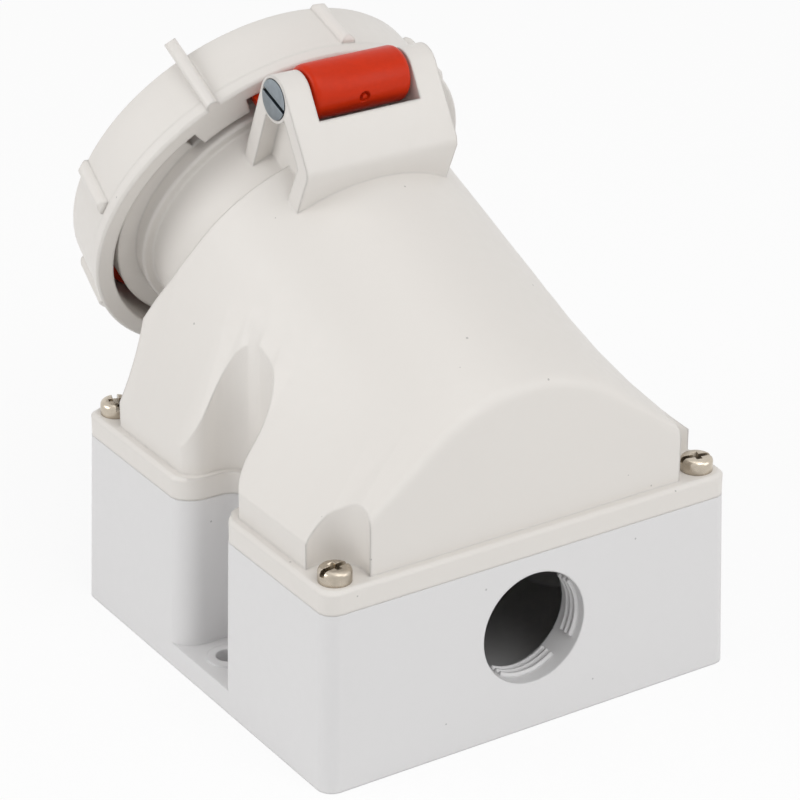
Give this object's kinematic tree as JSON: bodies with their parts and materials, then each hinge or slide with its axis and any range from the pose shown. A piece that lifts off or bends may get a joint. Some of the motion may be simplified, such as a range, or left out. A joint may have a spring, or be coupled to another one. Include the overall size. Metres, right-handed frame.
{
  "type": "industrial wall socket",
  "caption": "Surface-mounted industrial power socket: box with side screw notches and a cable entry, tilted barrel, and a hinged red lid locked by a bayonet ring.",
  "frame": {"origin": "centre of the wall face, midway between the two wall screws", "axes": "+Z out of the wall, -Y towards the cable entry, +X across the two screw notches; the socket axis lies in the YZ plane"},
  "size_m": [0.1016, 0.1333, 0.1287],
  "materials": {
    "base_grey": "satin",
    "cover_white": "satin",
    "lid_red": "satin",
    "insert_black": "matte",
    "seal_rubber": "matte",
    "nickel_steel": "polished",
    "zinc_steel": "satin",
    "contact_brass": "satin"
  },
  "bodies": {
    "socket": {"base_box": "base_grey", "cover_gasket": "seal_rubber", "cover_housing": "cover_white", "cover_screw_1": "nickel_steel", "cover_screw_2": "nickel_steel", "cover_screw_3": "nickel_steel", "cover_screw_4": "nickel_steel", "contact_carrier": "insert_black", "terminal_carrier": "insert_black", "contact_l1": "contact_brass", "contact_l2": "contact_brass", "contact_l3": "contact_brass", "contact_n": "contact_brass", "contact_pe": "contact_brass", "contact_spring_l1": "zinc_steel", "contact_spring_l2": "zinc_steel", "contact_spring_l3": "zinc_steel", "contact_spring_n": "zinc_steel", "contact_spring_pe": "zinc_steel", "terminal_screw_l1": "zinc_steel", "terminal_screw_l2": "zinc_steel", "terminal_screw_l3": "zinc_steel", "terminal_screw_n": "zinc_steel", "terminal_screw_pe": "zinc_steel", "carrier_screw_1": "zinc_steel", "carrier_screw_2": "zinc_steel", "hinge_pin": "zinc_steel"},
    "lid": {"lid": "lid_red", "lid_seal": "seal_rubber"},
    "ring": {"bayonet_ring": "cover_white"}
  },
  "joints": [
    {"name": "lid_hinge", "type": "hinge", "parent": "socket", "child": "lid", "pos_m": [0, 0.02048, 0.11971], "axis": [1, 0, 0], "range_deg": [0, 105]},
    {"name": "ring_turn", "type": "hinge", "parent": "lid", "child": "ring", "pos_m": [0, 0.0496, 0.0829], "axis": [0, -0.8965, -0.4431], "range_deg": [0, 24]}
  ]
}
